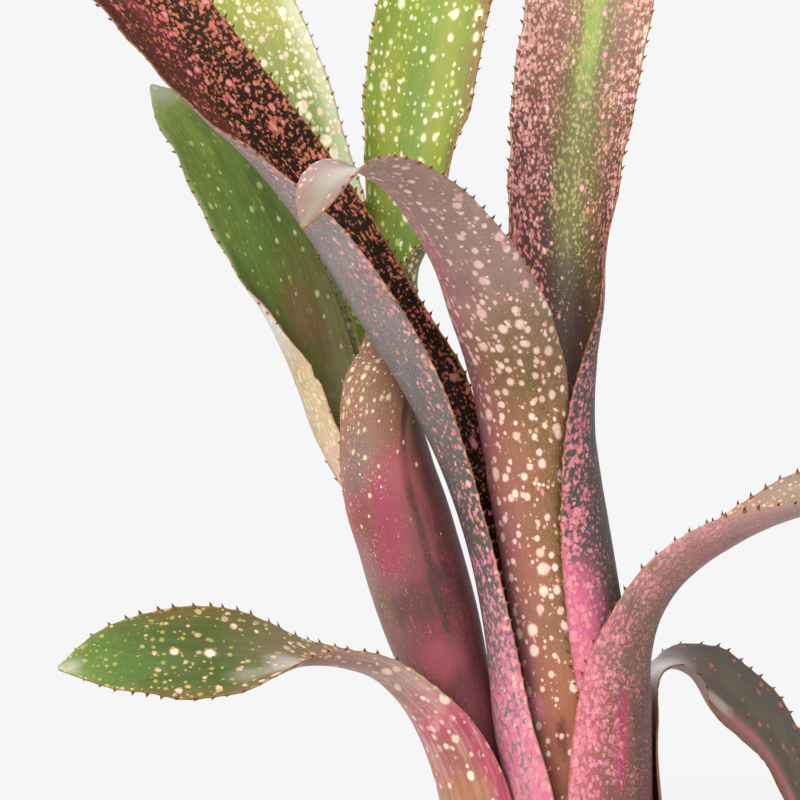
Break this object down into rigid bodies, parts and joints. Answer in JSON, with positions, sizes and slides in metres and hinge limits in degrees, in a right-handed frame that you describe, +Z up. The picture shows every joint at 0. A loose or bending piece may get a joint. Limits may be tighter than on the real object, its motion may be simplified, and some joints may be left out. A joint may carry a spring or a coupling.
{
  "type": "billbergia",
  "caption": "Two-shoot billbergia clump on its cut stem: spotted, tooth-edged strap leaves in tall tubes, some arching and drooping.",
  "frame": {"origin": "on the flat cut base of the stem, between its two stalks, near the clump's middle as seen from the front", "axes": "+Z up the shoots, -Y to the viewer of the picture, +X to the viewer's right"},
  "size_m": [0.3134, 0.1891, 0.4437],
  "materials": {
    "leaf_front": "satin, spotted and banded, with grey scales outside",
    "leaf_right_tall": "satin, spotted and banded, with grey scales outside",
    "leaf_left_dark": "satin, spotted and banded, with grey scales outside",
    "leaf_right_arching": "satin, spotted and banded, with grey scales outside",
    "leaf_right_drooping": "satin, spotted and banded, with grey scales outside",
    "leaf_low_left": "satin, spotted and banded, with grey scales outside",
    "leaf_centre_tall": "satin, spotted and banded, with grey scales outside",
    "leaf_left_green": "satin, spotted and banded, with grey scales outside",
    "leaf_back_left": "satin, spotted and banded, with grey scales outside",
    "stem": "matt, pale brown with leaf scars, paler on the cut"
  },
  "bodies": {
    "root": {"stem": "stem", "leaf_front": "leaf_front", "leaf_right_tall": "leaf_right_tall", "leaf_left_dark": "leaf_left_dark", "leaf_right_arching": "leaf_right_arching", "leaf_right_drooping": "leaf_right_drooping", "leaf_low_left": "leaf_low_left", "leaf_centre_tall": "leaf_centre_tall", "leaf_left_green": "leaf_left_green", "leaf_back_left": "leaf_back_left"}
  },
  "joints": []
}
